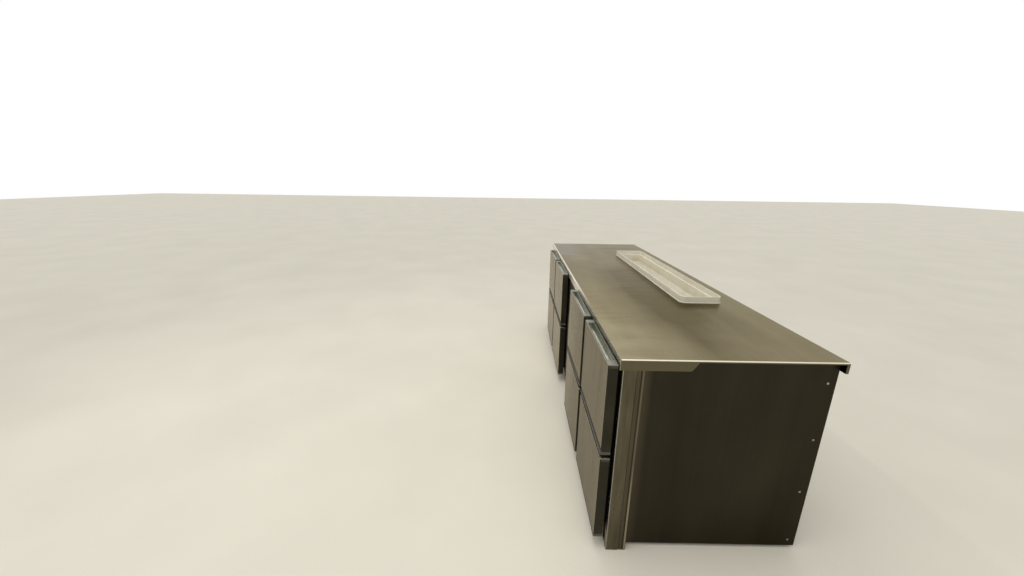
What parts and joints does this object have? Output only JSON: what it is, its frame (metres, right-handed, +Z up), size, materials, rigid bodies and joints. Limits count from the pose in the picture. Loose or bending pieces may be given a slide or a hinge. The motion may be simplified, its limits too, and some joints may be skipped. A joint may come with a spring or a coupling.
{
  "type": "refrigerated drawer counter",
  "caption": "Stainless galley counter with refrigerated drawers in two groups beside a set-back machine bay, and a sunk white sauce well in its worktop.",
  "frame": {"origin": "on the floor under the middle of the counter's outline", "axes": "+X along the counter towards its near end, -Y out of the drawer fronts, +Z up"},
  "size_m": [2.55, 0.842, 0.884],
  "materials": {
    "worktop_steel": "satin",
    "front_steel": "vertically brushed",
    "panel_steel": "brushed",
    "box_steel": "satin",
    "zinc_steel": "zinc plated",
    "dark_trim": "matte",
    "seal_rubber": "matte",
    "white_plastic": "semi-gloss",
    "machine_paint": "satin"
  },
  "bodies": {
    "counter": {"worktop_sheet": "worktop_steel", "top_board": "panel_steel", "sauce_well": "white_plastic", "near_end_post": "panel_steel", "near_end_panel": "panel_steel", "far_end_panel": "panel_steel", "base_panel": "panel_steel", "back_panel": "panel_steel", "column_partitions": "panel_steel", "front_rails": "panel_steel", "bay_panel": "panel_steel", "far_bay_panel": "panel_steel", "compressor": "machine_paint", "kick_panel": "panel_steel", "feet": "zinc_steel", "runners_near": "zinc_steel", "runners_far": "zinc_steel"},
    "drawer_1_upper": {"front_1_upper": "front_steel", "trim_1_upper": "dark_trim", "seal_1_upper": "seal_rubber", "box_1_upper": "box_steel"},
    "slides_1_upper": {"slide_1_upper": "zinc_steel"},
    "drawer_1_lower": {"front_1_lower": "front_steel", "trim_1_lower": "dark_trim", "seal_1_lower": "seal_rubber", "box_1_lower": "box_steel"},
    "slides_1_lower": {"slide_1_lower": "zinc_steel"},
    "drawer_2_upper": {"front_2_upper": "front_steel", "trim_2_upper": "dark_trim", "seal_2_upper": "seal_rubber", "box_2_upper": "box_steel"},
    "slides_2_upper": {"slide_2_upper": "zinc_steel"},
    "drawer_2_lower": {"front_2_lower": "front_steel", "trim_2_lower": "dark_trim", "seal_2_lower": "seal_rubber", "box_2_lower": "box_steel"},
    "slides_2_lower": {"slide_2_lower": "zinc_steel"},
    "drawer_3_upper": {"front_3_upper": "front_steel", "trim_3_upper": "dark_trim", "seal_3_upper": "seal_rubber", "box_3_upper": "box_steel"},
    "slides_3_upper": {"slide_3_upper": "zinc_steel"},
    "drawer_3_lower": {"front_3_lower": "front_steel", "trim_3_lower": "dark_trim", "seal_3_lower": "seal_rubber", "box_3_lower": "box_steel"},
    "slides_3_lower": {"slide_3_lower": "zinc_steel"},
    "drawer_4_upper": {"front_4_upper": "front_steel", "trim_4_upper": "dark_trim", "seal_4_upper": "seal_rubber", "box_4_upper": "box_steel"},
    "slides_4_upper": {"slide_4_upper": "zinc_steel"},
    "drawer_4_lower": {"front_4_lower": "front_steel", "trim_4_lower": "dark_trim", "seal_4_lower": "seal_rubber", "box_4_lower": "box_steel"},
    "slides_4_lower": {"slide_4_lower": "zinc_steel"}
  },
  "joints": [
    {"name": "open_1_upper", "type": "slide", "parent": "counter", "child": "drawer_1_upper", "axis": [0, -1, 0], "range_m": [0, 0.5]},
    {"name": "extend_1_upper", "type": "slide", "parent": "counter", "child": "slides_1_upper", "axis": [0, -1, 0], "range_m": [0, 0.25]},
    {"name": "open_1_lower", "type": "slide", "parent": "counter", "child": "drawer_1_lower", "axis": [0, -1, 0], "range_m": [0, 0.5]},
    {"name": "extend_1_lower", "type": "slide", "parent": "counter", "child": "slides_1_lower", "axis": [0, -1, 0], "range_m": [0, 0.25]},
    {"name": "open_2_upper", "type": "slide", "parent": "counter", "child": "drawer_2_upper", "axis": [0, -1, 0], "range_m": [0, 0.5]},
    {"name": "extend_2_upper", "type": "slide", "parent": "counter", "child": "slides_2_upper", "axis": [0, -1, 0], "range_m": [0, 0.25]},
    {"name": "open_2_lower", "type": "slide", "parent": "counter", "child": "drawer_2_lower", "axis": [0, -1, 0], "range_m": [0, 0.5]},
    {"name": "extend_2_lower", "type": "slide", "parent": "counter", "child": "slides_2_lower", "axis": [0, -1, 0], "range_m": [0, 0.25]},
    {"name": "open_3_upper", "type": "slide", "parent": "counter", "child": "drawer_3_upper", "axis": [0, -1, 0], "range_m": [0, 0.5]},
    {"name": "extend_3_upper", "type": "slide", "parent": "counter", "child": "slides_3_upper", "axis": [0, -1, 0], "range_m": [0, 0.25]},
    {"name": "open_3_lower", "type": "slide", "parent": "counter", "child": "drawer_3_lower", "axis": [0, -1, 0], "range_m": [0, 0.5]},
    {"name": "extend_3_lower", "type": "slide", "parent": "counter", "child": "slides_3_lower", "axis": [0, -1, 0], "range_m": [0, 0.25]},
    {"name": "open_4_upper", "type": "slide", "parent": "counter", "child": "drawer_4_upper", "axis": [0, -1, 0], "range_m": [0, 0.5]},
    {"name": "extend_4_upper", "type": "slide", "parent": "counter", "child": "slides_4_upper", "axis": [0, -1, 0], "range_m": [0, 0.25]},
    {"name": "open_4_lower", "type": "slide", "parent": "counter", "child": "drawer_4_lower", "axis": [0, -1, 0], "range_m": [0, 0.5]},
    {"name": "extend_4_lower", "type": "slide", "parent": "counter", "child": "slides_4_lower", "axis": [0, -1, 0], "range_m": [0, 0.25]}
  ],
  "couplings": [
    {"joint": "extend_1_upper", "follows": "open_1_upper", "ratio": 0.5},
    {"joint": "extend_1_lower", "follows": "open_1_lower", "ratio": 0.5},
    {"joint": "extend_2_upper", "follows": "open_2_upper", "ratio": 0.5},
    {"joint": "extend_2_lower", "follows": "open_2_lower", "ratio": 0.5},
    {"joint": "extend_3_upper", "follows": "open_3_upper", "ratio": 0.5},
    {"joint": "extend_3_lower", "follows": "open_3_lower", "ratio": 0.5},
    {"joint": "extend_4_upper", "follows": "open_4_upper", "ratio": 0.5},
    {"joint": "extend_4_lower", "follows": "open_4_lower", "ratio": 0.5}
  ]
}
